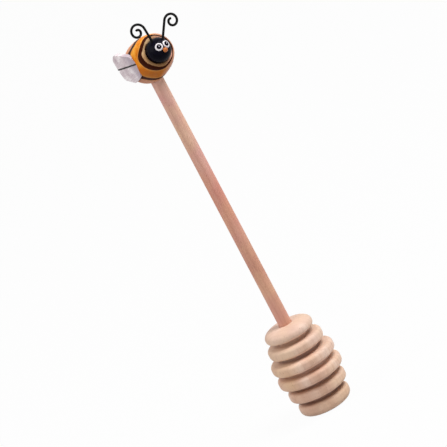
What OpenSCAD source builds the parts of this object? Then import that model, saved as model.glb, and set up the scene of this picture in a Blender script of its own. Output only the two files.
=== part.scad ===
// Honey dipper: a turned beech head and a dowel handle with a painted wooden bee on top.
// The origin is the centre of the flat underside of the head, and +Z runs up the handle.
// The bee faces -Y, so its right side is -X.

/* [Dipper head] */
// Diameter of the ring next to the underside
ring_1_d = 25.6; // [20:0.1:34]
// Diameter of the second ring from the underside
ring_2_d = 28.8; // [20:0.1:36]
// Diameter of the third ring from the underside
ring_3_d = 32; // [24:0.1:38]
// Diameter of the fourth ring from the underside
ring_4_d = 31.7; // [24:0.1:38]
// Diameter of the fifth ring from the underside
ring_5_d = 27.5; // [20:0.1:36]
// Diameter of the ring next to the handle
ring_6_d = 24.1; // [20:0.1:34]
// Height of the ring next to the underside
bottom_ring_h = 6.5; // [5:0.1:10]
// Height of each ring between the two end rings
ring_h = 5.25; // [4.2:0.05:8]
// Height of the ring next to the handle
top_ring_h = 5.6; // [4.5:0.1:10]
// Width of each honey groove
groove_w = 2.3; // [1.2:0.1:4]
// Depth of each honey groove below the smaller of its two rings
groove_depth = 4.8; // [2:0.1:5.6]
// Rounding of the rings' edges
ring_edge_r = 1.9; // [0.5:0.1:2]
// Diameter of the flat underside
underside_d = 17; // [10:0.5:19]
// Height over which the underside rounds up to its ring
underside_round_h = 3.4; // [1:0.1:4]
// Diameter of the flat top around the handle
top_flat_d = 13.5; // [9:0.5:18]
// Height over which the top rounds down to its ring
top_round_h = 3.3; // [1:0.1:3.6]

/* [Handle] */
// Diameter of the dowel
dowel_d = 6.35; // [5:0.05:7]
// Length of dowel seated in the dipper head
head_socket_depth = 18; // [10:0.5:30]
// Height of the bee's axis over the top of the dipper head
bee_height = 143.1; // [100:0.1:180]
// How far the dowel's end passes the bee's axis
dowel_past_axis = 2; // [-2:0.5:5]
// Chamfer on the dowel's two ends
dowel_chamfer = 0.5; // [0.2:0.1:1]
// Glue clearance around the dowel, on its diameter
dowel_fit = 0.1; // [0.05:0.05:0.3]

/* [Bee body] */
// Largest diameter of the body, at the handle
body_d = 20.9; // [19:0.1:24]
// Length of the front half's curve, if it ran on to a point
body_front_l = 24.4; // [21:0.1:27]
// Where that curve ends and the rounding of the flat front starts, from the handle
body_curve_l = 14.6; // [14:0.1:15]
// Rounding of the flat front's edge
body_edge_r = 1.8; // [1:0.1:2.2]
// Length from the handle to the tail
body_rear_l = 9.6; // [9:0.1:16]
// How square the body's outline is, where 2 is an ellipse
body_fullness = 2.2; // [2.1:0.05:2.6]
// How far the bee's nose points up from level, in degrees
bee_pitch = 21.7; // [10:0.1:30]
// How far the bee leans over to its left, in degrees
bee_roll = 8; // [-10:0.5:15]

/* [Bee head] */
// Diameter of the ball that makes the head
ball_d = 12; // [11.6:0.1:12.6]
// Distance from the handle to the ball's centre, along the bee
ball_forward = 17.25; // [16.8:0.05:18.4]
// How far the ball's centre lies under the body's axis
ball_drop = 0.4; // [0:0.05:0.8]
// Gap left for glue between the ball and its seat in the body
ball_fit = 0.1; // [0.05:0.05:0.3]

/* [Face] */
// Diameter of each white eye dot
eye_d = 3.8; // [2.6:0.1:3.9]
// Height of the white dots over the ball
eye_raise = 0.5; // [0.15:0.05:0.6]
// Diameter of each black pupil dot
pupil_d = 2.4; // [1:0.1:2.6]
// Height of the pupil dots over the white dots
pupil_raise = 0.2; // [0.1:0.05:0.4]
// Angle from the middle of the face to each eye
eye_spread = 20.4; // [19.8:0.1:26]
// Angle by which the whole face is turned to the bee's left
face_turn = 5.5; // [-10:0.5:10]
// Angle from the bee's axis up to the line of the eyes
face_rise = 3.7; // [0:0.1:8]
// Angle by which the face is rolled, with the bee's left eye lower
face_roll = 2.5; // [-10:0.5:10]
// Diameter of the nose bead
nose_d = 2.3; // [1.5:0.1:3]
// Angle from the line of the eyes down to the nose
nose_drop = 22.8; // [21:0.1:30]
// How far the nose bead's centre stands out of the ball
nose_out = 0.35; // [0:0.05:0.8]

/* [Antennae] */
// Diameter of the wire
wire_d = 1.2; // [0.7:0.1:1.4]
// Depth of wire held in each hole of the ball
wire_hold = 2.6; // [1.5:0.1:3.4]
// Glue clearance around the wire, on its diameter
wire_fit = 0.1; // [0.05:0.05:0.3]
// Forward lean of both antennae, in degrees
wire_tilt = 12; // [0:1:25]
// Straight length of the right antenna
right_stem_l = 7; // [3:0.1:12]
// Straight length of the left antenna
left_stem_l = 8.6; // [3:0.1:12]
// Sideways lean of the right antenna towards its curl, in degrees
right_lean_angle = 6.3; // [-10:0.1:30]
// Sideways lean of the left antenna towards its curl, in degrees
left_lean_angle = 32.4; // [10:0.1:50]
// Bend radius where the right curl starts
right_curl_start_r = 4.05; // [3.4:0.05:5]
// Bend radius where the left curl starts
left_curl_start_r = 3.65; // [3.2:0.05:5]
// Bend radius where the right curl ends
right_curl_end_r = 0.75; // [0.7:0.05:1.2]
// Bend radius where the left curl ends
left_curl_end_r = 1.15; // [0.7:0.05:1.2]
// How far the right curl turns, in degrees
right_curl_turn = 480; // [180:5:490]
// How far the left curl turns, in degrees
left_curl_turn = 435; // [180:5:490]

/* [Wings] */
// Thickness of the wings
wing_t = 2.4; // [1.8:0.1:3]
// Length of each wing from front to back
wing_l = 17.3; // [15:0.1:19]
// Glue clearance around a wing in its seat in the body's side
wing_fit = 0.1; // [0.05:0.05:0.3]
// Angle by which each wing stands out from the body towards its back edge
wing_open = 5; // [2:0.5:12]
// Angle by which each wing's upper edge leans outwards
wing_lean = 8; // [0:0.5:15]
// How far the wing's front point lies inside the body's largest radius
wing_inset = 0.87; // [0.3:0.01:1.2]
// Distance of the wing's front point in front of the handle
wing_forward = 9.31; // [8:0.01:11]
// Height of the wing's front point over the body's axis
wing_up = -0.5; // [-1:0.1:2]
// Angle by which the left wing's back edge sits lower than the right one's
left_wing_droop = 3; // [0:0.5:6]

/* [Hidden] */
$fn = 96;
eps = 0.01;

// Ring radii and the heights of the rings' lower and upper faces, from the underside up
ring_r = [ring_1_d, ring_2_d, ring_3_d, ring_4_d, ring_5_d, ring_6_d] / 2;
rings = len(ring_r);
ring_pitch = ring_h + groove_w;
function ring_low(i) = i == 0 ? 0 : bottom_ring_h + groove_w + (i - 1) * ring_pitch;
function ring_high(i) = ring_low(i) + (i == 0 ? bottom_ring_h : i == rings - 1 ? top_ring_h : ring_h);
head_l = ring_high(rings - 1);
socket_floor = head_l - head_socket_depth;

bee_z = head_l + bee_height;
dowel_top = bee_z + dowel_past_axis;

body_r = body_d / 2;

// Distance of the wing's front point from the body's middle plane
wing_side = body_r - wing_inset;

// The front half's curve at its end: how far round it is, its radius there and the tilt of its surface
body_curve_a = asin(pow(body_curve_l / body_front_l, body_fullness / 2));
body_curve_r = body_r * pow(cos(body_curve_a), 2 / body_fullness);
body_curve_tilt = atan(pow(body_curve_l / body_front_l, body_fullness - 1) / body_front_l
    / (pow(body_curve_r / body_r, body_fullness - 1) / body_r));
body_face = body_curve_l + body_edge_r * (1 - sin(body_curve_tilt));

ball_r = ball_d / 2;
wire_steps = 44;
wire_sides = 10;

// Quarter of an ellipse as [radius, height] points, from its flat end at a0 to its other end at a1
function quarter(r, z, width, height, a0, a1, steps = 8) =
    [for (k = [0:steps]) let (a = a0 + (a1 - a0) * k / steps) [r + width * cos(a), z + height * sin(a)]];

// One ring's outline as [radius, height] points, from its lower face up to its upper face
function ring_outline(i) =
    let (
        r = ring_r[i],
        low_w = i == 0 ? r - underside_d / 2 : ring_edge_r,
        low_h = i == 0 ? underside_round_h : ring_edge_r,
        high_w = i == rings - 1 ? r - top_flat_d / 2 : ring_edge_r,
        high_h = i == rings - 1 ? top_round_h : ring_edge_r
    )
    concat(
        quarter(r - low_w, ring_low(i) + low_h, low_w, low_h, -90, 0),
        quarter(r - high_w, ring_high(i) - high_h, high_w, high_h, 0, 90)
    );

// The core between ring i and the next one
function groove_outline(i) =
    let (r = min(ring_r[i], ring_r[i + 1]) - groove_depth)
    [[r, ring_high(i)], [r, ring_low(i + 1)]];

module dipper_head() {
    color("burlywood")
    difference() {
        rotate_extrude()
        polygon(concat(
            [[0, 0]],
            [for (i = [0:rings - 1]) each concat(ring_outline(i), i < rings - 1 ? groove_outline(i) : [])],
            [[0, head_l]]
        ));
        translate([0, 0, socket_floor])
        cylinder(d = dowel_d + dowel_fit, h = head_socket_depth + eps);
    }
}

module handle_dowel() {
    length = dowel_top - socket_floor;
    color("tan")
    translate([0, 0, socket_floor])
    rotate_extrude()
    polygon([
        [0, 0],
        [dowel_d / 2 - dowel_chamfer, 0],
        [dowel_d / 2, dowel_chamfer],
        [dowel_d / 2, length - dowel_chamfer],
        [dowel_d / 2 - dowel_chamfer, length],
        [0, length]
    ]);
}

// Everything of the bee is drawn about its own axis, which points to -Y, with the handle's line at the origin
module bee_frame() {
    translate([0, 0, bee_z])
    rotate([-bee_pitch, 0, 0])
    rotate([0, bee_roll, 0])
    children();
}

// Points +Z along the bee's axis, to the front
module along_axis() {
    rotate([90, 0, 0])
    children();
}

// Part of the body's outline as [radius, forward] points, which is fuller than an ellipse
function body_outline(length, from, to, steps = 20) =
    [for (k = [0:steps])
        let (a = from + (to - from) * k / steps)
        [body_r * pow(cos(a), 2 / body_fullness), length * sign(sin(a)) * pow(abs(sin(a)), 2 / body_fullness)]];

// The rounding between that outline and the flat front
function body_edge(steps = 6) =
    let (middle = [body_curve_r, body_curve_l] - body_edge_r * [cos(body_curve_tilt), sin(body_curve_tilt)])
    [for (k = [1:steps])
        let (a = body_curve_tilt + (90 - body_curve_tilt) * k / steps)
        middle + body_edge_r * [cos(a), sin(a)]];

module body_blank() {
    along_axis()
    rotate_extrude()
    polygon(concat(
        body_outline(body_rear_l, -90, 0),
        body_outline(body_front_l, 0, body_curve_a),
        body_edge(),
        [[0, body_face]]
    ));
}

module bee_body() {
    color("orange")
    difference() {
        bee_frame()
        difference() {
            body_blank();
            at_ball()
            sphere(r = ball_r + ball_fit);
            wing_seat(0);
            scale([-1, 1, 1])
            wing_seat(left_wing_droop);
        }
        translate([0, 0, bee_z - body_d])
        cylinder(d = dowel_d + dowel_fit, h = body_d + dowel_past_axis);
    }
}

// Moves to the ball's centre, with +Z to the front
module at_ball() {
    translate([0, 0, -ball_drop])
    along_axis()
    translate([0, 0, ball_forward])
    children();
}

// Turns +Z from the bee's forward axis to the left by azimuth and up by elevation
module face_direction(azimuth, elevation) {
    rotate([0, azimuth, 0])
    rotate([-elevation, 0, 0])
    children();
}

// A place on the face in degrees from its middle, left and up, carried along by the face's roll
module on_face(left, up) {
    face_direction(
        face_turn + left * cos(face_roll) + up * sin(face_roll),
        face_rise - left * sin(face_roll) + up * cos(face_roll)
    )
    children();
}

module bee_head() {
    color("black")
    bee_frame()
    at_ball()
    difference() {
        sphere(r = ball_r);
        antenna_hole(right_antenna_base, right_lean_angle, -1);
        antenna_hole(left_antenna_base, left_lean_angle, 1);
    }
}

// A flat dot of paint that follows the ball, from radius inner to radius outer
module paint_dot(d, inner, outer) {
    difference() {
        intersection() {
            sphere(r = outer);
            cylinder(d = d, h = 2 * outer);
        }
        sphere(r = inner);
    }
}

module eye(side) {
    color("white")
    bee_frame()
    at_ball()
    on_face(side * eye_spread, 0)
    paint_dot(eye_d, ball_r, ball_r + eye_raise);
}

module pupil(side) {
    color("black")
    bee_frame()
    at_ball()
    on_face(side * eye_spread, 0)
    paint_dot(pupil_d, ball_r + eye_raise, ball_r + eye_raise + pupil_raise);
}

module nose() {
    color("darkorange")
    bee_frame()
    at_ball()
    difference() {
        on_face(0, -nose_drop)
        translate([0, 0, ball_r + nose_out])
        sphere(d = nose_d);
        sphere(r = ball_r);
    }
}

// Where each antenna leaves the ball, as [azimuth to the left, elevation] in degrees
right_antenna_base = [-32.3, 46.5];
left_antenna_base = [41, 35.8];

// The wire's route in its own plane, as [sideways, up, heading from up] rows
function wire_route(lean, stem, r0, r1, turn) =
    let (
        curl = [for (k = [0:wire_steps]) k * turn / wire_steps],
        bend = [for (a = curl) r0 + (r1 - r0) * a / turn],
        step = [for (k = [1:wire_steps]) (bend[k - 1] + bend[k]) / 2 * (turn / wire_steps) * PI / 180],
        mid = [for (k = [1:wire_steps]) lean + (curl[k - 1] + curl[k]) / 2],
        start = stem * [sin(lean), cos(lean)]
    )
    concat(
        [concat(-wire_hold * [sin(lean), cos(lean)], lean)],
        [for (k = [0:wire_steps])
            concat(
                start + [sum_upto(step, mid, k, 0), sum_upto(step, mid, k, 90)],
                lean + curl[k]
            )]
    );

// Sideways (phase 0) or upward (phase 90) travel over the first k steps
function sum_upto(step, mid, k, phase) =
    k == 0 ? 0 : step[k - 1] * sin(mid[k - 1] + phase) + sum_upto(step, mid, k - 1, phase);

module wire(route) {
    n = len(route);
    points = [for (row = route, j = [0:wire_sides - 1])
        let (a = 360 * j / wire_sides, out = wire_d / 2 * cos(a))
        [row[0] + out * cos(row[2]), wire_d / 2 * sin(a), row[1] - out * sin(row[2])]];
    start_cap = [[for (j = [0:wire_sides - 1]) j]];
    end_cap = [[for (j = [wire_sides - 1:-1:0]) (n - 1) * wire_sides + j]];
    sides = [for (i = [0:n - 2], j = [0:wire_sides - 1])
        let (a = i * wire_sides + j, b = i * wire_sides + (j + 1) % wire_sides)
        each [[a, a + wire_sides, b], [b, a + wire_sides, b + wire_sides]]];
    polyhedron(points, concat(start_cap, end_cap, sides));
}

// Moves to where an antenna leaves the ball, and stands its plane up across the bee with the forward lean
module at_antenna(base) {
    out = ball_r * [sin(base[0]) * cos(base[1]), sin(base[1]), cos(base[0]) * cos(base[1])];
    translate(out)
    rotate([-90, 0, 0])
    rotate([wire_tilt, 0, 0])
    children();
}

module antenna_hole(base, lean, side) {
    at_antenna(base)
    rotate([0, side * lean, 0])
    translate([0, 0, -wire_hold])
    cylinder(d = wire_d + wire_fit, h = wire_hold + ball_r);
}

module antenna(base, lean, stem, r0, r1, turn, side) {
    color("black")
    bee_frame()
    at_ball()
    at_antenna(base)
    scale([side, 1, 1])
    wire(wire_route(lean, stem, r0, r1, turn));
}

// The wing's outline, grown by grow: x runs back from the front point, and y runs up
module wing_outline(grow) {
    // Rounded corners of the upper and the lower half, as [back, up, radius] in percent of the wing's length
    upper = [[5.8, 5.2, 5.2], [20.8, 18.5, 12.7], [75.1, 45.7, 12.7], [82.1, 41.6, 12.7], [94.2, 22.5, 5.2]];
    lower = [[5.8, -1.2, 5.2], [95.4, 11.6, 5.2], [84.4, -2.9, 16.2], [59, -20.8, 15.6], [28.3, -20.8, 12.7]];
    for (half = [upper, lower])
        hull()
        for (corner = half * wing_l / 100)
            translate([corner[0], corner[1]])
            circle(r = corner[2] + grow);
}

// Stands a wing's outline up on the bee's right side, with its outer face at depth 0 and depths counted inwards
module at_right_side() {
    translate([-wing_side, -wing_forward, wing_up])
    rotate([0, 0, wing_open])
    rotate([0, -wing_lean, 0])
    rotate([90, 0, 90])
    children();
}

// The seat for a wing, open to the outside
module wing_seat(droop) {
    at_right_side()
    rotate([0, 0, -droop])
    translate([0, 0, -wing_t])
    linear_extrude(2 * wing_t + wing_fit)
    wing_outline(wing_fit);
}

module wing(droop) {
    color("lavender")
    at_right_side()
    rotate([0, 0, -droop])
    linear_extrude(wing_t)
    wing_outline(0);
}

module right_wing() {
    bee_frame()
    wing(0);
}

module left_wing() {
    bee_frame()
    scale([-1, 1, 1])
    wing(left_wing_droop);
}

dipper_head();
handle_dowel();
bee_body();
bee_head();
right_wing();
left_wing();
antenna(right_antenna_base, right_lean_angle, right_stem_l,  // right_antenna
        right_curl_start_r, right_curl_end_r, right_curl_turn, -1);
antenna(left_antenna_base, left_lean_angle, left_stem_l,  // left_antenna
        left_curl_start_r, left_curl_end_r, left_curl_turn, 1);
eye(-1);  // right_eye
eye(1);  // left_eye
pupil(-1);  // right_pupil
pupil(1);  // left_pupil
nose();
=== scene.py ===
import math

import bmesh
import bpy
from mathutils import Matrix, Vector


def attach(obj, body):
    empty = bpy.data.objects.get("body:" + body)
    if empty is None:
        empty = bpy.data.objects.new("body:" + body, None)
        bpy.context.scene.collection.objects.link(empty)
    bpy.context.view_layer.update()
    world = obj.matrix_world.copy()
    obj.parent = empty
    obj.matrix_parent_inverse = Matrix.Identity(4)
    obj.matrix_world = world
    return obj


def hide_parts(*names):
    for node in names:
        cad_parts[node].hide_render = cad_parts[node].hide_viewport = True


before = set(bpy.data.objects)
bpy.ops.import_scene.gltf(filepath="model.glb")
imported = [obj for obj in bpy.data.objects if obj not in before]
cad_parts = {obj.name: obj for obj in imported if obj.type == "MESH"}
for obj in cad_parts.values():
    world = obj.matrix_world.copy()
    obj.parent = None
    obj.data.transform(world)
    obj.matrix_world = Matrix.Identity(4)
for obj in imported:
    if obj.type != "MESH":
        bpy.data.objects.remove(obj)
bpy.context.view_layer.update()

# Sizes are in millimetres and angles in degrees, as on the drawing of the dipper
MM = 0.001

# Dipper head, from the underside up
RING_DIAMETERS = (25.6, 28.8, 32.0, 31.7, 27.5, 24.1)
BOTTOM_RING_HEIGHT = 6.5
RING_HEIGHT = 5.25
TOP_RING_HEIGHT = 5.6
GROOVE_WIDTH = 2.3
GROOVE_DEPTH = 4.8
GROOVE_FILLET = 0.35
RING_EDGE = 1.9
UNDERSIDE = 17.0
UNDERSIDE_ROUND = 3.4
TOP_FLAT = 13.5
TOP_ROUND = 3.3
DOWEL_DIAMETER = 6.35
DOWEL_SOCKET = 17.9
BORE_GAP = 0.02
BORE_BREAK = 0.25

# Bee: its axis crosses the handle at this height and points to -Y, tipped up and leaning to its left
BEE_HEIGHT = 187.7
BEE_PITCH = 21.7
BEE_ROLL = 8.0
BODY_DIAMETER = 20.9
BALL_DIAMETER = 12.0
BALL_RADIUS = BALL_DIAMETER / 2
BALL_FORWARD = 17.25
BALL_DROP = 0.4
bee = (
    Matrix.Translation((0, 0, BEE_HEIGHT))
    @ Matrix.Rotation(math.radians(-BEE_PITCH), 4, "X")
    @ Matrix.Rotation(math.radians(BEE_ROLL), 4, "Y")
)
ball = bee @ Matrix.Translation((0, -BALL_FORWARD, -BALL_DROP))

# Face: where it looks, how far each eye is from its middle, and how much nearer the left pupil is, all
# in degrees round the ball
FACE_TURN = 5.5
FACE_RISE = 3.7
FACE_ROLL = 2.5
EYE_SPREAD = 20.4
LEFT_PUPIL_IN = 3.0
# The dots of paint, and how far they stand out
EYE_DIAMETER = 3.8
EYE_RAISE = 0.5
PUPIL_DIAMETER = 2.4
PUPIL_RAISE = 0.2

# Wings: how much their rims are rounded, where their front points are, and how they are turned
WING_EDGE = 0.4
WING_INSET = 0.87
WING_FORWARD = 9.31
WING_UP = -0.5
WING_OPEN = 5.0
WING_LEAN = 8.0
LEFT_WING_DROOP = 3.0
# The vein runs so far along the wing while it rises so far
VEIN_RUN = 17.4
VEIN_RISE = 3.8

# Antennae: the wire, how much of it is in the ball, and how far it leans forward
WIRE_DIAMETER = 1.18
WIRE_HOLD = 2.4
WIRE_TILT = 12.0

# How many millimetres one unit of the flat plans on the wings and on the dots stands for
WING_PLAN = 20.0
DOT_PLAN = 4.0

# How fine the meshes are: points round a turned piece, and steps along a curve
HEAD_SIDES = 160
DOT_SIDES = 64
WIRE_SIDES = 20
RIM_STEPS = 14
EDGE_STEPS = 12
FILLET_STEPS = 4
CURL_STEPS = 110
# An edge sharper than this isn't shaded smooth
SHARP_EDGE = 38


def colour(hex_text):
    """An sRGB hex colour as linear red, green, blue and alpha."""
    parts = [int(hex_text[i:i + 2], 16) / 255 for i in (1, 3, 5)]
    return [c / 12.92 if c <= 0.04045 else ((c + 0.055) / 1.055) ** 2.4 for c in parts] + [1.0]


def add(tree, kind, inputs=(), output=None, stops=(), **settings):
    """Adds a node with its settings and links, and gives its output.

    The inputs are a list in the node's own order, or a dict by name. An input takes a number, a hex
    colour or another node's output. Stops are a ramp's (place, hex colour) pairs or a curve's points.
    """
    made = tree.nodes.new("ShaderNode" + kind)
    for name, value in settings.items():
        setattr(made, name, value)
    live = [socket for socket in made.inputs if socket.enabled]
    pairs = inputs.items() if isinstance(inputs, dict) else enumerate(inputs)
    for key, value in pairs:
        socket = live[key] if isinstance(key, int) else made.inputs[key]
        if isinstance(value, bpy.types.NodeSocket):
            tree.links.new(value, socket)
        else:
            socket.default_value = colour(value) if isinstance(value, str) else value
    if kind == "ValToRGB":
        marks = made.color_ramp.elements
        while len(marks) < len(stops):
            marks.new(0.5)
        for mark, (place, hex_text) in zip(marks, stops):
            mark.position = place
            mark.color = colour(hex_text)
    if kind == "FloatCurve":
        points = made.mapping.curves[0].points
        while len(points) < len(stops):
            points.new(0.5, 0.5)
        for point, place in zip(points, stops):
            point.location = place
        made.mapping.update()
    if output:
        return made.outputs[output]
    return next((socket for socket in made.outputs if socket.enabled), None)


def material(name):
    """A new material with its node tree and its shader."""
    made = bpy.data.materials.new(name)
    made.use_nodes = True
    return made, made.node_tree, made.node_tree.nodes["Principled BSDF"]


def dress(tree, shader, paint, rough, bump, ior, shine):
    """Links a surface's colour, roughness and bump to its shader, and sets what is the same all over."""
    for name, source in (("Base Color", paint), ("Roughness", rough), ("Normal", bump)):
        tree.links.new(source, shader.inputs[name])
    shader.inputs["IOR"].default_value = ior
    shader.inputs["Specular IOR Level"].default_value = shine


def drawn_in_mm(tree, place=None):
    """Coordinates in millimetres, of the whole dipper or from the place given."""
    here = add(tree, "VectorMath", [add(tree, "TexCoord", output="Object"), 1 / MM], operation="SCALE")
    if place is None:
        return here
    turned = {"Vector": here, "Location": place.to_translation(), "Rotation": place.to_euler()}
    return add(tree, "Mapping", turned, vector_type="TEXTURE")


# Materials

def beech(name, pale, mid, deep, pith, turned):
    """Sanded bare beech: pink-beige, fine straight grain, short brown ray flecks, almost no gloss.

    The pith is the place of the tree's middle, across the handle. Turned wood has a cutter's marks.
    """
    made, tree, shader = material(name)
    here = drawn_in_mm(tree)
    # Sizes across and along the handle, as the fibres run up it. Real fibres are 0.02 mm wide and
    # can't be seen, so the streaks are drawn 0.4 mm wide, and the ray flecks twice as wide as real ones
    blotch_size = (14, 14, 55)
    streak_size = (0.4, 0.4, 11)
    fleck_size = (0.6, 0.75, 2.6)
    year_ring = 2.4
    wander_size = 2.0
    drift_size = 18
    cutter_mark = 0.25
    blotch, streak, dash = [
        add(tree, "Mapping", {"Vector": here, "Scale": [1 / size for size in sizes]})
        for sizes in (blotch_size, streak_size, fleck_size)]
    blotch = add(tree, "TexNoise", {"Vector": blotch, "Scale": 1.0, "Detail": 3.0, "Roughness": 0.55})
    streak = add(tree, "TexNoise", {"Vector": streak, "Scale": 1.0, "Detail": 4.0, "Roughness": 0.65})

    # Growth rings round a pith outside the piece, all but straight along the handle, and bent by the
    # slow blotches
    bent_by = 9.0
    from_pith = add(tree, "VectorMath", [here, (-pith[0], -pith[1], 0)], operation="ADD")
    from_pith = add(tree, "VectorMath", [from_pith, (1, 1, 0.02)], operation="MULTIPLY")
    away = add(tree, "VectorMath", [from_pith], operation="LENGTH")
    bent = add(tree, "Math", [blotch, bent_by, away], operation="MULTIPLY_ADD")
    year = add(tree, "Math", [add(tree, "Math", [bent, year_ring], operation="DIVIDE")], operation="FRACT")

    # The flecks lie a little askew, some of them are faint, and about a third of the cells have none
    wander = {"Vector": here, "Scale": 1 / wander_size, "Detail": 1.0}
    wander = add(tree, "TexNoise", wander, output="Color")
    wander = add(tree, "VectorMath", [wander, (0.9, 0.9, 0.9), dash], operation="MULTIPLY_ADD")
    cell = add(tree, "TexVoronoi", {"Vector": wander, "Scale": 1.0, "Randomness": 1.0})
    fleck = add(tree, "MapRange", [cell, 0.08, 0.3, 1.0, 0.0], interpolation_type="SMOOTHSTEP")
    chance = add(tree, "MapRange", [cell.node.outputs["Color"], 0.4, 0.9])
    fleck = add(tree, "Math", [fleck, chance], operation="MULTIPLY")

    wood = add(tree, "ValToRGB", [blotch], stops=[(0.3, deep), (0.5, mid), (0.66, pale)])
    # Heartwood pink and sapwood yellow drift through each other over a few centimetres
    drift = add(tree, "TexNoise", {"Vector": here, "Scale": 1 / drift_size, "Detail": 2.0})
    drift = add(tree, "MapRange", [drift, 0.4, 0.62, 0.0, 0.55])
    wood = add(tree, "Mix", [drift, wood, "#E8C69E"], data_type="RGBA")
    late = add(tree, "MapRange", [year, 0.5, 1.0, 0.0, 0.3], interpolation_type="SMOOTHSTEP")
    wood = add(tree, "Mix", [late, wood, deep], data_type="RGBA")
    fine = add(tree, "MapRange", [streak, 0.3, 0.7, 0.9, 1.05])
    fine = add(tree, "CombineColor", [fine, fine, fine])
    wood = add(tree, "Mix", [1.0, wood, fine], data_type="RGBA", blend_type="MULTIPLY")
    fleck_share = add(tree, "Math", [fleck, 0.72], operation="MULTIPLY")
    wood = add(tree, "Mix", [fleck_share, wood, "#94654E"], data_type="RGBA")

    height = add(tree, "Math", [fleck, -0.5, streak], operation="MULTIPLY_ADD")
    if turned:
        x, y, z = add(tree, "SeparateXYZ", [here]).node.outputs
        # End grain soaks up more light than side grain, on the rings' flat faces
        facing = add(tree, "SeparateXYZ", [add(tree, "NewGeometry", output="Normal")], output="Z")
        facing = add(tree, "Math", [facing], operation="ABSOLUTE")
        ends = add(tree, "MapRange", [facing, 0.45, 0.95, 0.0, 0.18], interpolation_type="SMOOTHSTEP")
        wood = add(tree, "Mix", [ends, wood, "#CFA78C"], data_type="RGBA")
        # The cutter's marks run round the rings
        radius = add(tree, "VectorMath", [add(tree, "CombineXYZ", [x, y])], operation="LENGTH")
        outline = add(tree, "CombineXYZ", [radius, 0.0, z])
        marks = add(tree, "TexNoise", {"Vector": outline, "Scale": 1 / cutter_mark, "Detail": 2.0})
        height = add(tree, "Math", [marks, 0.6, height], operation="MULTIPLY_ADD")
        # The wood is drawn paler towards the top ring and browner towards the lowest ring
        palest = add(tree, "MapRange", [z, 24.0, 42.0, 0.0, 0.28])
        wood = add(tree, "Mix", [palest, wood, "#DDC9C1"], data_type="RGBA")
        brownest = add(tree, "MapRange", [z, 20.0, 2.0, 0.0, 0.4])
        wood = add(tree, "Mix", [brownest, wood, "#CDAA92"], data_type="RGBA")
        # The bottoms of the grooves are darkened with painted shade, the top one least
        low = add(tree, "MapRange", [radius, 9.0, 12.5, 0.55, 0.0], interpolation_type="SMOOTHSTEP")
        grooves_middle, grooves_reach = 22.7, 16.4
        between = add(tree, "Math", [z, grooves_middle, grooves_reach], operation="COMPARE")
        low = add(tree, "Math", [low, between], operation="MULTIPLY")
        less_shade_on_top = add(tree, "MapRange", [z, 31.5, 36.5, 1.0, 0.2])
        low = add(tree, "Math", [low, less_shade_on_top], operation="MULTIPLY")
        wood = add(tree, "Mix", [low, wood, "#9C7B74"], data_type="RGBA")
    else:
        # The handle is redder below its upper third, and reddest at its middle
        z = add(tree, "SeparateXYZ", [here], output="Z")
        redder = add(tree, "MapRange", [z, 150.0, 120.0, 0.06, 0.46], interpolation_type="SMOOTHSTEP")
        less_below = add(tree, "MapRange", [z, 110.0, 88.0, 1.0, 0.62], interpolation_type="SMOOTHSTEP")
        redder = add(tree, "Math", [redder, less_below], operation="MULTIPLY")
        wood = add(tree, "Mix", [redder, wood, "#C66C46"], data_type="RGBA")
    bump = add(tree, "Bump", {"Strength": 0.35, "Distance": 0.06 * MM, "Height": height})
    rough = add(tree, "MapRange", [streak, 0.3, 0.7, 0.5, 0.66])
    dress(tree, shader, wood, rough, bump, ior=1.5, shine=0.3)
    return made


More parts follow.
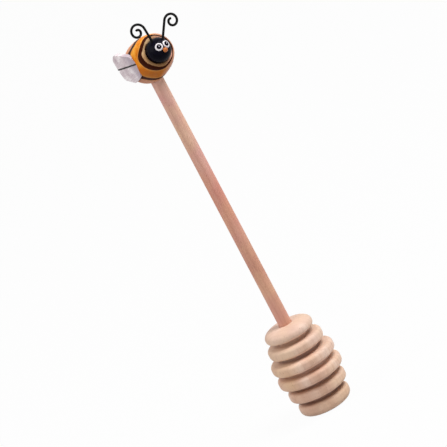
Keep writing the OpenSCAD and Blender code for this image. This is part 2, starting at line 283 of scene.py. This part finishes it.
def painted_bee():
    """Brushed matt acrylic: warm yellow and orange with wavering dark stripes and an ochre ring."""
    made, tree, shader = material("brushed_acrylic_stripes")
    here = drawn_in_mm(tree, bee)
    # A bristle's own mark is 0.1 mm wide and can't be seen, so the strokes are drawn 0.4 mm wide
    waver_size = 2.9
    stroke_size = (4.5, 0.38, 4.5)
    patch_size = 6.2
    left, y, up = add(tree, "SeparateXYZ", [here]).node.outputs
    forward = add(tree, "Math", [y, -1.0], operation="MULTIPLY")
    radius = add(tree, "VectorMath", [add(tree, "CombineXYZ", [left, up])], operation="LENGTH")
    # The way round the bee, from 0 underneath by its right side to 1 underneath again, 0.5 on top
    turn = add(tree, "Math", [left, up], operation="ARCTAN2")
    round_by = add(tree, "MapRange", [turn, -math.pi, math.pi])
    # How far back over the front's rounded edge: the angle at the middle of that round, which is this
    # far in front of the handle
    edge_centre = 6.0
    ahead = add(tree, "Math", [forward, edge_centre], operation="SUBTRACT")
    back_by = add(tree, "Math", [radius, ahead], operation="ARCTAN2")
    back_by = add(tree, "Math", [back_by, 180 / math.pi], operation="MULTIPLY")
    # The brush wavers by up to a fifth of a millimetre every 3 mm, and by a hair in between
    waver = add(tree, "TexNoise", {
        "Vector": here, "Scale": 1 / waver_size, "Detail": 4.0, "Roughness": 0.6})
    waver = add(tree, "Math", [waver, 0.5], operation="SUBTRACT")

    # First stripe: degrees round the bee from its top, below 0 on its right, then the stripe's middle
    # and half its width in degrees back. The brush swung back and pressed harder on the right side
    first_stripe = (
        (-180, 42.5, 3.4), (-160, 43.9, 4.6), (-140, 44.6, 6.6), (-112, 46.9, 7.2),
        (-94, 47.3, 7.2), (-82, 45.9, 6.3), (-62, 39.5, 3.9), (-40, 37.3, 3.2),
        (-10, 38.2, 3.0), (25, 37.3, 1.4), (50, 37.0, 1.3), (80, 37.0, 2.4),
        (100, 37.0, 2.3), (125, 37.5, 1.0), (160, 38.7, 2.2), (180, 42.5, 2.7))
    # Second stripe: the same, in millimetres in front of the handle
    second_stripe = (
        (-180, 3.6, 1.4), (-145, 4.6, 1.4), (-124, 3.9, 1.7), (-95, 3.7, 1.9), (-65, 4.4, 2.1),
        (-50, 5.8, 2.2), (-36, 8.4, 2.0), (0, 8.7, 1.9), (36, 8.4, 1.9), (50, 5.8, 1.7),
        (65, 4.4, 1.5), (124, 3.9, 1.4), (180, 3.6, 1.4))
    edges = []
    # A curve goes no higher than 1, so it holds shares of a full scale. The brush wavers in proportion
    # to the last number, in the same unit as the stripe
    for rows, full_scale, position, wavering in (
            (first_stripe, 60.0, back_by, 3.0), (second_stripe, 10.0, forward, 0.9)):
        curves = []
        for column in (1, 2):
            points = [(row[0] / 360 + 0.5, row[column] / full_scale) for row in rows]
            curve = add(tree, "FloatCurve", {"Value": round_by}, stops=points)
            curves.append(add(tree, "Math", [curve, full_scale], operation="MULTIPLY"))
        middle, half = curves
        off = add(tree, "Math", [position, middle], operation="SUBTRACT")
        wavered = add(tree, "Math", [waver, wavering, off], operation="MULTIPLY_ADD")
        past = add(tree, "Math", [wavered], operation="ABSOLUTE")
        past = add(tree, "Math", [past, half], operation="SUBTRACT")
        edges.append((off, half, past))
    (off_first, half_first, past_first), (off_second, half_second, past_second) = edges

    # Black reaches from the ball onto the rim of its seat on the bee's right
    farthest, nearest = BALL_RADIUS + 0.42, BALL_RADIUS - 0.1
    seat = add(tree, "VectorMath", [here, (0, BALL_FORWARD, BALL_DROP)], operation="ADD")
    from_ball = add(tree, "VectorMath", [seat], operation="LENGTH")
    black_reach = add(tree, "MapRange", [left, -4.0, -1.0, farthest, nearest], interpolation_type="SMOOTHSTEP")
    past_seat = add(tree, "Math", [waver, 0.6, from_ball], operation="MULTIPLY_ADD")
    past_seat = add(tree, "Math", [past_seat, black_reach], operation="SUBTRACT")

    # A stripe's edge is soft for this far on both sides of its line. At the front's rounded edge one
    # degree is a fifth of a millimetre
    soft = 0.12
    mm_in_degree = 0.2
    dark = 0.0
    for past, reach in ((past_first, soft / mm_in_degree), (past_second, soft), (past_seat, soft)):
        mask = add(tree, "MapRange", [past, -reach, reach, 1.0, 0.0], interpolation_type="SMOOTHSTEP")
        dark = add(tree, "Math", [mask, dark], operation="MAXIMUM")

    # Brush strokes run round the body
    strokes = add(tree, "Mapping", {"Vector": here, "Scale": [1 / size for size in stroke_size]})
    brushed = add(tree, "TexNoise", {"Vector": strokes, "Scale": 1.0, "Detail": 3.0, "Roughness": 0.6})
    uneven = add(tree, "Math", [brushed, 0.5], operation="SUBTRACT")
    patchy = add(tree, "TexNoise", {"Vector": here, "Scale": 1 / patch_size, "Detail": 2.0})

    # Orange is brushed into the middle of the band; under the belly it is darkened browner by painted shade
    mottled = add(tree, "Math", [uneven, 1.0, patchy], operation="MULTIPLY_ADD")
    oranges = [(0.26, "#C9660C"), (0.5, "#E78418"), (0.72, "#FBAE42")]
    orange = add(tree, "ValToRGB", [mottled], stops=oranges)
    belly_shade = add(tree, "MapRange", [up, 0.0, -9.0, 0.0, 0.8], interpolation_type="SMOOTHSTEP")
    orange = add(tree, "Mix", [belly_shade, orange, "#A46026"], data_type="RGBA")
    # The ochre undercoat is half left showing by the stripes
    clear_of_first = add(tree, "Math", [off_first, half_first], operation="SUBTRACT")
    clear_of_first = add(tree, "Math", [clear_of_first, mm_in_degree], operation="MULTIPLY")
    clear_of_second = add(tree, "Math", [off_second], operation="ABSOLUTE")
    clear_of_second = add(tree, "Math", [clear_of_second, half_second], operation="SUBTRACT")
    in_band = add(tree, "Math", [clear_of_first, clear_of_second], operation="MINIMUM")
    in_band = add(tree, "Math", [uneven, 1.6, in_band], operation="MULTIPLY_ADD")
    orange_share = add(tree, "MapRange", [in_band, -0.1, 1.2, 0.45, 1.0], interpolation_type="SMOOTHSTEP")
    paint = add(tree, "Mix", [orange_share, "#CE9A5C", orange], data_type="RGBA")
    # The paint is drawn pink behind the second stripe, and at the front and under the belly on the bee's
    # left
    tail = add(tree, "MapRange", [off_second, -1.2, -2.6, 0.0, 0.72], interpolation_type="SMOOTHSTEP")
    flank = add(tree, "MapRange", [left, -1.0, 4.0, 0.0, 0.78], interpolation_type="SMOOTHSTEP")
    front = add(tree, "MapRange", [forward, 8.5, 12.5, 0.12, 1.0], interpolation_type="SMOOTHSTEP")
    beneath = add(tree, "MapRange", [up, -4.5, -8.0], interpolation_type="SMOOTHSTEP")
    front_or_beneath = add(tree, "Math", [front, beneath], operation="MAXIMUM")
    flank = add(tree, "Math", [flank, front_or_beneath], operation="MULTIPLY")
    pink_share = add(tree, "Math", [tail, flank], operation="MAXIMUM")
    paint = add(tree, "Mix", [pink_share, paint, "#CE9882"], data_type="RGBA")
    # Ahead of the first stripe a ring of ochre, darkened under the ball by painted shade, and pinker on the
    # bee's left
    ochre = add(tree, "ValToRGB", [brushed], stops=[(0.3, "#B88D62"), (0.7, "#DDB88C")])
    shade_under_ball = add(tree, "MapRange", [up, 3.0, -4.0, 0.0, 0.65], interpolation_type="SMOOTHSTEP")
    ochre = add(tree, "Mix", [shade_under_ball, ochre, "#8C5D33"], data_type="RGBA")
    pinker = add(tree, "MapRange", [left, 0.0, 5.0, 0.0, 0.9])
    ochre = add(tree, "Mix", [pinker, ochre, "#DAA08C"], data_type="RGBA")
    collar = add(tree, "MapRange", [off_first, -1.0, 1.0, 1.0, 0.0])
    paint = add(tree, "Mix", [collar, paint, ochre], data_type="RGBA")
    stripe = add(tree, "ValToRGB", [brushed], stops=[(0.3, "#220A04"), (0.75, "#4A1B0A")])
    paint = add(tree, "Mix", [dark, paint, stripe], data_type="RGBA")

    # The dark paint stands proud, and the bristles leave ridges
    ridges = add(tree, "Math", [brushed, 0.45], operation="MULTIPLY")
    height = add(tree, "Math", [dark, 0.9, ridges], operation="MULTIPLY_ADD")
    bump = add(tree, "Bump", {"Strength": 0.5, "Distance": 0.08 * MM, "Height": height})
    rough = add(tree, "MapRange", [brushed, 0.3, 0.7, 0.36, 0.48])
    dress(tree, shader, paint, rough, bump, ior=1.45, shine=0.03)
    return made


def enamel(name, low, high, smoothest, film, shine):
    """Thick brushed craft enamel: deep even colour, faint strokes and a soft gloss.

    It goes from the low to the high colour, and the film is how deep its brush marks can be.
    """
    made, tree, shader = material(name)
    # Bristle marks are drawn several times as wide as real ones, which can't be seen
    stroke_size = (2.0, 0.55, 2.0)
    strokes = {"Vector": drawn_in_mm(tree, ball), "Scale": [1 / size for size in stroke_size]}
    brushed = add(tree, "TexNoise", {
        "Vector": add(tree, "Mapping", strokes), "Scale": 1.0, "Detail": 3.0, "Roughness": 0.55})
    paint = add(tree, "ValToRGB", [brushed], stops=[(0.3, low), (0.7, high)])
    rough = add(tree, "MapRange", [brushed, 0.3, 0.7, smoothest, smoothest + 0.1])
    bump = add(tree, "Bump", {"Strength": 0.3, "Distance": film * MM, "Height": brushed})
    dress(tree, shader, paint, rough, bump, ior=1.45, shine=shine)
    return made


def with_white_speck(enamel_paint):
    """The same enamel with a small white speck on it."""
    made = enamel_paint.copy()
    made.name = enamel_paint.name + "_with_speck"
    tree = made.node_tree
    base = tree.nodes["Principled BSDF"].inputs["Base Color"]
    # The speck is half a millimetre across and sits a little above the middle
    speck_place = (0.08, 0.12, 0)
    plan = add(tree, "VectorMath", [add(tree, "UVMap", uv_map="dot_plan"), DOT_PLAN], operation="SCALE")
    off = add(tree, "VectorMath", [plan, speck_place], operation="DISTANCE")
    speck = add(tree, "MapRange", [off, 0.2, 0.32, 1.0, 0.0], interpolation_type="SMOOTHSTEP")
    white = add(tree, "Mix", [speck, base.links[0].from_socket, "#CFC9D2"], data_type="RGBA")
    tree.links.new(white, base)
    return made


def painted_wing():
    """Brushed white acrylic on thin plywood: soft sheen, faint strokes, one dark freehand vein."""
    made, tree, shader = material("white_acrylic_wing")
    # Bristle marks are drawn several times as wide as real ones, which can't be seen
    stroke_size = (4.0, 0.53, 1.0)
    patch_size = 5.0
    waver_size = 2.2
    # The plan is drawn from the wing's front point
    plan = add(tree, "VectorMath", [add(tree, "UVMap", uv_map="wing_plan"), WING_PLAN], operation="SCALE")
    x, y, _ = add(tree, "SeparateXYZ", [plan]).node.outputs
    strokes = add(tree, "Mapping", {"Vector": plan, "Scale": [1 / size for size in stroke_size]})
    brushed = add(tree, "TexNoise", {"Vector": strokes, "Scale": 1.0, "Detail": 3.0, "Roughness": 0.6})
    uneven = add(tree, "Math", [brushed, 0.5], operation="SUBTRACT")
    patchy = add(tree, "TexNoise", {"Vector": plan, "Scale": 1 / patch_size, "Detail": 2.0})
    waver = add(tree, "TexNoise", {"Vector": plan, "Scale": 1 / waver_size, "Detail": 3.0})
    waver = add(tree, "Math", [waver, 0.5], operation="SUBTRACT")
    off_vein = add(tree, "Math", [x, -VEIN_RISE / VEIN_RUN, y], operation="MULTIPLY_ADD")
    off_vein = add(tree, "Math", [waver, 0.5, off_vein], operation="MULTIPLY_ADD")
    off_vein = add(tree, "Math", [off_vein], operation="ABSOLUTE")
    vein = add(tree, "MapRange", [off_vein, 0.3, 0.5, 1.0, 0.0], interpolation_type="SMOOTHSTEP")
    mottled = add(tree, "Math", [uneven, 0.6, patchy], operation="MULTIPLY_ADD")
    whites = [(0.3, "#C2B0B6"), (0.52, "#D9CACE"), (0.72, "#F1E8E9")]
    paint = add(tree, "ValToRGB", [mottled], stops=whites)
    # Painted shade: greyer and darker next to the body, where the body shades the wing
    shade_near_body = add(tree, "MapRange", [x, 9.0, 3.0, 0.0, 0.75], interpolation_type="SMOOTHSTEP")
    paint = add(tree, "Mix", [shade_near_body, paint, "#A99AA6"], data_type="RGBA")
    paint = add(tree, "Mix", [vein, paint, "#17110F"], data_type="RGBA")
    height = add(tree, "Math", [vein, 0.7, brushed], operation="MULTIPLY_ADD")
    bump = add(tree, "Bump", {"Strength": 0.4, "Distance": 0.06 * MM, "Height": height})
    rough = add(tree, "MapRange", [brushed, 0.3, 0.7, 0.36, 0.48])
    dress(tree, shader, paint, rough, bump, ior=1.49, shine=0.3)
    return made


def coated_wire():
    """Annealed steel craft wire in black plastic: even black with a faint line of light along it."""
    made, tree, shader = material("black_coated_wire")
    scuff_size = 0.7
    scuffs = add(tree, "TexNoise", {
        "Vector": drawn_in_mm(tree), "Scale": 1 / scuff_size, "Detail": 4.0, "Roughness": 0.65})
    paint = add(tree, "ValToRGB", [scuffs], stops=[(0.35, "#050405"), (0.7, "#0D0B0C")])
    rough = add(tree, "MapRange", [scuffs, 0.3, 0.7, 0.35, 0.5])
    bump = add(tree, "Bump", {"Strength": 0.25, "Distance": 0.03 * MM, "Height": scuffs})
    dress(tree, shader, paint, rough, bump, ior=1.45, shine=0.08)
    return made


turned_beech = beech("turned_beech", "#ECCFBD", "#E0BAA4", "#C89B82", pith=(46, 30), turned=True)
dowel_beech = beech("dowel_beech", "#E6BFB7", "#D6A299", "#BE8B7E", pith=(70, -40), turned=False)
bee_paint = painted_bee()
wing_paint = painted_wing()
wire_coat = coated_wire()
black_enamel = enamel("black_enamel", "#040209", "#0A0716", smoothest=0.28, film=0.05, shine=0.05)
white_enamel = enamel("white_enamel", "#DAD3D7", "#ECE6E8", smoothest=0.2, film=0.03, shine=0.4)
orange_enamel = enamel("orange_enamel", "#AE5F28", "#CC7737", smoothest=0.25, film=0.04, shine=0.3)
pupil_enamel = with_white_speck(black_enamel)


# Mesh building

def finish_piece(bm, name, surface, node):
    """Turns a bmesh drawn in millimetres into a piece that stands for its CAD node."""
    bmesh.ops.scale(bm, vec=(MM, MM, MM), verts=bm.verts)
    bmesh.ops.recalc_face_normals(bm, faces=bm.faces)
    mesh = bpy.data.meshes.new(name)
    bm.to_mesh(mesh)
    bm.free()
    mesh.shade_smooth()
    mesh.set_sharp_from_angle(angle=math.radians(SHARP_EDGE))
    mesh.materials.append(surface)
    piece = bpy.data.objects.new(name, mesh)
    bpy.context.collection.objects.link(piece)
    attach(piece, "root")
    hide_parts(node)


def lathe(bm, outline, sides):
    """Turns an outline of (radius, height) points round Z, with one point where it meets the axis."""
    turn = [math.tau * k / sides for k in range(sides)]
    rings = []
    for radius, height in outline:
        if radius == 0:
            rings.append([bm.verts.new((0, 0, height))])
        else:
            rings.append([bm.verts.new((radius * math.cos(a), radius * math.sin(a), height)) for a in turn])
    for low, high in zip(rings, rings[1:]):
        for k in range(sides):
            j = (k + 1) % sides
            corners = [low[k % len(low)], low[j % len(low)], high[j % len(high)], high[k % len(high)]]
            # Next to a single point two of the corners are the same
            bm.faces.new(list(dict.fromkeys(corners)))


def arc(radius, height, width, rise, start, end, steps):
    """Part of an ellipse as (radius, height) points."""
    turn = [math.radians(start + (end - start) * k / steps) for k in range(steps + 1)]
    return [(radius + width * math.cos(a), height + rise * math.sin(a)) for a in turn]


def towards(azimuth, elevation):
    """The direction so many degrees round from -Y to +X, and so many up."""
    a, e = math.radians(azimuth), math.radians(elevation)
    return Vector((math.sin(a) * math.cos(e), -math.cos(a) * math.cos(e), math.sin(e)))


def build_dipper_head():
    """The turned head: round-edged rings with grooves cut between them, bored for the dowel."""
    last = len(RING_DIAMETERS) - 1
    outline = [(0, 0), (UNDERSIDE / 4, 0)]
    low = 0
    for i, diameter in enumerate(RING_DIAMETERS):
        radius = diameter / 2
        height = BOTTOM_RING_HEIGHT if i == 0 else TOP_RING_HEIGHT if i == last else RING_HEIGHT
        high = low + height
        # The lowest ring is rounded down to the underside, and the highest up to its flat top
        edge = (radius - RING_EDGE, RING_EDGE, EDGE_STEPS)
        flat, rounding, steps = (UNDERSIDE / 2, UNDERSIDE_ROUND, RIM_STEPS) if i == 0 else edge
        outline += arc(flat, low + rounding, radius - flat, rounding, -90, 0, steps)
        flat, rounding, steps = (TOP_FLAT / 2, TOP_ROUND, RIM_STEPS) if i == last else edge
        outline += arc(flat, high - rounding, radius - flat, rounding, 0, 90, steps)
        low = high + GROOVE_WIDTH
        if i < last:
            fillet = GROOVE_FILLET
            core = min(radius, RING_DIAMETERS[i + 1] / 2) - GROOVE_DEPTH + fillet
            outline += arc(core, high + fillet, -fillet, -fillet, 90, 0, FILLET_STEPS)
            outline += arc(core, low - fillet, -fillet, fillet, 0, 90, FILLET_STEPS)
    # The bore that holds the dowel, with its rim just broken
    bore = DOWEL_DIAMETER / 2 + BORE_GAP
    bore_floor = high - DOWEL_SOCKET
    outline += [(bore + BORE_BREAK, high), (bore, high - BORE_BREAK), (bore, bore_floor), (0, bore_floor)]
    bm = bmesh.new()
    lathe(bm, outline, HEAD_SIDES)
    finish_piece(bm, "turned_dipper_head", turned_beech, "dipper_head")


def copy_of_node(node):
    """A bmesh of a CAD node in millimetres, with its doubled points welded."""
    weld = 0.002
    bm = bmesh.new()
    bm.from_mesh(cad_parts[node].data)
    bmesh.ops.scale(bm, vec=(1 / MM, 1 / MM, 1 / MM), verts=bm.verts)
    bmesh.ops.remove_doubles(bm, verts=bm.verts, dist=weld)
    return bm


def build_body():
    """The body keeps its solid's shape, welded so that it shades smoothly."""
    bm = copy_of_node("bee_body")
    finish_piece(bm, "painted_bee_body", bee_paint, "bee_body")


def build_wing(node, side, droop):
    """A wing with softly rounded rims, whose painted plan is turned down by its droop.

    The side is -1 for the bee's right and 1 for its left.
    """
    level_within = 1.5
    rim_angle = 60
    fewest_corners = 20
    bm = copy_of_node(node)
    # Each broad side becomes one face with many corners, and its rim is what is rounded
    bmesh.ops.dissolve_limit(bm, angle_limit=math.radians(level_within), verts=bm.verts, edges=bm.edges)
    rims = []
    for edge in bm.edges:
        if len(edge.link_faces) == 2 and edge.calc_face_angle() > math.radians(rim_angle):
            if max(len(face.verts) for face in edge.link_faces) > fewest_corners:
                rims.append(edge)
    bmesh.ops.bevel(
        bm, geom=rims, offset=WING_EDGE, segments=4, profile=0.5, affect="EDGES", clamp_overlap=True)
    plane = (
        bee
        @ Matrix.Diagonal((-side, 1, 1, 1))
        @ Matrix.Translation((WING_INSET - BODY_DIAMETER / 2, -WING_FORWARD, WING_UP))
        @ Matrix.Rotation(math.radians(WING_OPEN), 4, "Z")
        @ Matrix.Rotation(math.radians(-WING_LEAN), 4, "Y")
        @ Matrix.Rotation(math.radians(90), 4, "Z")
        @ Matrix.Rotation(math.radians(90), 4, "X")
        @ Matrix.Rotation(math.radians(-droop), 4, "Z")
    ).inverted()
    layer = bm.loops.layers.uv.new("wing_plan")
    for face in bm.faces:
        for loop in face.loops:
            spot = plane @ loop.vert.co
            loop[layer].uv = (spot.x / WING_PLAN, spot.y / WING_PLAN)
    finish_piece(bm, "painted_" + node, wing_paint, node)


def build_antenna(node, side, leaves_at, lean, stem, bends, turn):
    """Bent wire: straight out of the ball, then one flat curl that tightens to its end.

    It leaves the ball at an azimuth and elevation, leans out by the angle lean, and has a straight
    stem. Then it turns by the angle turn, while its bend goes from the first radius to the second.
    """
    out_x, out_y = math.sin(math.radians(lean)), math.cos(math.radians(lean))
    x, y = stem * out_x, stem * out_y
    route = [(-WIRE_HOLD * out_x, -WIRE_HOLD * out_y, lean), (x, y, lean)]
    for k in range(CURL_STEPS):
        done = (k + 0.5) / CURL_STEPS
        heading = math.radians(lean + turn * done)
        length = (bends[0] + (bends[1] - bends[0]) * done) * math.radians(turn / CURL_STEPS)
        x += length * math.sin(heading)
        y += length * math.cos(heading)
        route.append((x, y, lean + turn * (k + 1) / CURL_STEPS))
    radius = WIRE_DIAMETER / 2
    rows = [(x, y, math.radians(heading), radius) for x, y, heading in route]
    # The nipped end is dressed to a small round
    x, y, heading, radius = rows[-1]
    for ahead, share in ((0.12, 0.93), (0.2, 0.75), (0.24, 0.45)):
        rows.append((x + ahead * math.sin(heading), y + ahead * math.cos(heading), heading, radius * share))
    stand = (
        ball
        @ Matrix.Translation(BALL_RADIUS * towards(*leaves_at))
        @ Matrix.Rotation(math.radians(WIRE_TILT), 4, "X")
        @ Matrix.Diagonal((side, 1, 1, 1))
    )
    bm = bmesh.new()
    loops = []
    for x, y, heading, radius in rows:
        loop = []
        for j in range(WIRE_SIDES):
            a = math.tau * j / WIRE_SIDES
            across, deep = radius * math.cos(a), radius * math.sin(a)
            spot = Vector((x + across * math.cos(heading), -deep, y - across * math.sin(heading)))
            loop.append(bm.verts.new(stand @ spot))
        loops.append(loop)
    for low, high in zip(loops, loops[1:]):
        for j in range(WIRE_SIDES):
            k = (j + 1) % WIRE_SIDES
            bm.faces.new((low[j], low[k], high[k], high[j]))
    bm.faces.new(loops[0][::-1])
    bm.faces.new(loops[-1])
    finish_piece(bm, "bent_" + node, wire_coat, node)


def on_face(left):
    """A place on the ball so many degrees to the bee's left of the face's middle, with +Z out of it."""
    roll = math.radians(FACE_ROLL)
    azimuth = FACE_TURN + left * math.cos(roll)
    elevation = FACE_RISE - left * math.sin(roll)
    return (
        ball
        @ Matrix.Rotation(math.radians(90), 4, "X")
        @ Matrix.Rotation(math.radians(azimuth), 4, "Y")
        @ Matrix.Rotation(math.radians(-elevation), 4, "X")
    )


def build_dot(name, node, left, diameter, inner, outer, roll_from, surface):
    """A dome of thick paint that follows the ball, its edge rolled down onto what is under it.

    Inner and outer are its distances from the ball's middle. It is level up to roll_from, a share of
    its own radius.
    """
    level_steps = 10
    roll_steps = 6
    half = diameter / 2
    film = outer - inner
    shares = [roll_from * k / level_steps for k in range(level_steps)]
    shares += [roll_from + (1 - roll_from) * k / roll_steps for k in range(roll_steps + 1)]
    outline = []
    for share in shares:
        r = half * share
        # Surface tension rolls the film down at its edge
        fall = max(0.0, (share - roll_from) / (1 - roll_from))
        top = inner + film * math.sqrt(max(0.0, 1 - fall ** 2))
        outline.append((r, math.sqrt(max(0.0, top ** 2 - r ** 2))))
    # Its back lies just inside what is under it
    back_edge, sunk = half * 0.97, 0.02
    outline.append((back_edge, math.sqrt(inner ** 2 - back_edge ** 2) - sunk))
    outline.append((0, inner - 0.1))
    bm = bmesh.new()
    lathe(bm, outline, DOT_SIDES)
    layer = bm.loops.layers.uv.new("dot_plan")
    for face in bm.faces:
        for loop in face.loops:
            loop[layer].uv = (loop.vert.co.x / DOT_PLAN, loop.vert.co.y / DOT_PLAN)
    bmesh.ops.transform(bm, matrix=on_face(left), verts=bm.verts)
    finish_piece(bm, name, surface, node)


build_dipper_head()
build_body()
build_wing("right_wing", side=-1, droop=0)
build_wing("left_wing", side=1, droop=LEFT_WING_DROOP)
build_antenna(
    "right_antenna", side=-1, leaves_at=(-32.3, 46.5), lean=6.3, stem=7.0, bends=(4.05, 0.75), turn=480)
build_antenna(
    "left_antenna", side=1, leaves_at=(41, 35.8), lean=32.4, stem=8.6, bends=(3.65, 1.15), turn=435)
eye_top = BALL_RADIUS + EYE_RAISE
for name, side in (("right", -1), ("left", 1)):
    looks = side * EYE_SPREAD
    build_dot(
        "domed_%s_eye" % name, name + "_eye", left=looks, diameter=EYE_DIAMETER,
        inner=BALL_RADIUS, outer=eye_top, roll_from=0.7, surface=white_enamel)
    # The bee's left pupil was set a little nearer to the nose
    if side > 0:
        looks -= LEFT_PUPIL_IN
    build_dot(
        "domed_%s_pupil" % name, name + "_pupil", left=looks, diameter=PUPIL_DIAMETER, inner=eye_top,
        outer=eye_top + PUPIL_RAISE, roll_from=0.84, surface=pupil_enamel)

# The dowel, the ball and the nose keep their solids' shapes
for node, surface in (("handle_dowel", dowel_beech), ("bee_head", black_enamel), ("nose", orange_enamel)):
    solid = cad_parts[node]
    solid.material_slots[0].material = surface
    solid.data.shade_smooth()

# Floor and background, in metres

FLOOR_REACH = 3.0
STUDIO_LEVEL = 0.38
# How much of the seen floor is plain white; the rest keeps a faint shadow
PLAIN_WHITE = 0.965


def seen_directly(tree):
    """1 for what the camera sees, also by a reflection or through glass, and 0 for light on things."""
    path = add(tree, "LightPath").node.outputs
    glossy = add(tree, "Math", [path["Is Glossy Ray"], path["Is Transmission Ray"]], operation="MAXIMUM")
    return add(tree, "Math", [path["Is Camera Ray"], glossy], operation="MAXIMUM")


bm = bmesh.new()
bmesh.ops.create_grid(bm, x_segments=8, y_segments=8, size=FLOOR_REACH)
floor_mesh = bpy.data.meshes.new("pale_floor")
bm.to_mesh(floor_mesh)
bm.free()
floor = bpy.data.objects.new("pale_floor", floor_mesh)
bpy.context.collection.objects.link(floor)
floor_paint = bpy.data.materials.new("white_sweep")
floor_paint.use_nodes = True
tree = floor_paint.node_tree
tree.nodes.clear()
pale = add(tree, "BsdfDiffuse", ["#C8C8C8"])
white = add(tree, "Emission", ["#FFFFFF", 1.0])
share = add(tree, "Math", [seen_directly(tree), PLAIN_WHITE], operation="MULTIPLY")
add(tree, "OutputMaterial", [add(tree, "MixShader", [share, pale, white])])
floor_mesh.materials.append(floor_paint)

world = bpy.data.worlds.new("studio")
bpy.context.scene.world = world
world.use_nodes = True
tree = world.node_tree
tree.nodes.clear()
strength = add(tree, "MapRange", [seen_directly(tree), 0.0, 1.0, STUDIO_LEVEL, 1.0])
add(tree, "OutputWorld", [add(tree, "Background", ["#FFFFFF", strength])])

# Camera: it stands far off to the bee's right, above level, and is rolled as in the photograph

CAMERA_AZIMUTH = -25.8
CAMERA_ELEVATION = 16.0
CAMERA_ROLL = 27.76
LENS = 1400.0
SENSOR = 36.0
# The middle of the picture, across, up and towards the camera from the underside's middle, and how
# wide the picture is there
VIEW_ACROSS = -3.7
VIEW_UP = 97.46
VIEW_NEARER = 33.0
VIEW_WIDTH = 207.2
# What the camera sees lies between these distances, in metres
NEAREST = 1.0
FARTHEST = 30.0

azimuth = math.radians(CAMERA_AZIMUTH)
across = Vector((math.cos(azimuth), math.sin(azimuth), 0))
back = towards(CAMERA_AZIMUTH, CAMERA_ELEVATION)
rise = back.cross(across)
target = VIEW_ACROSS * across + VIEW_UP * rise + VIEW_NEARER * back
camera_data = bpy.data.cameras.new("camera")
camera_data.lens = LENS
camera_data.sensor_width = SENSOR
camera_data.clip_start = NEAREST
camera_data.clip_end = FARTHEST
camera = bpy.data.objects.new("camera", camera_data)
bpy.context.collection.objects.link(camera)
roll = math.radians(CAMERA_ROLL)
right = math.cos(roll) * across - math.sin(roll) * rise
top = math.sin(roll) * across + math.cos(roll) * rise
turn = Matrix((right, top, back)).transposed()
place = (target + back * (VIEW_WIDTH * LENS / SENSOR)) * MM
camera.matrix_world = Matrix.Translation(place) @ turn.to_4x4()
bpy.context.scene.camera = camera

# Lamps

LAMP_AIM = Vector((0, 0, 110)) * MM


def lamp(name, direction, distance, size, power):
    """A square soft box that faces the middle of the dipper, in metres and watts."""
    data = bpy.data.lights.new(name, "AREA")
    data.size = size
    data.energy = power
    made = bpy.data.objects.new(name, data)
    bpy.context.collection.objects.link(made)
    made.location = LAMP_AIM + direction.normalized() * distance
    made.rotation_mode = "QUATERNION"
    made.rotation_quaternion = direction.to_track_quat("Z", "Y")


lamp("key", 0.7 * across + 0.9 * rise + 0.5 * back, distance=0.9, size=0.45, power=7.7)
lamp("fill", -0.85 * across + 0.7 * rise + 0.6 * back, distance=1.1, size=0.8, power=5.5)

bpy.context.scene.view_settings.view_transform = "Standard"
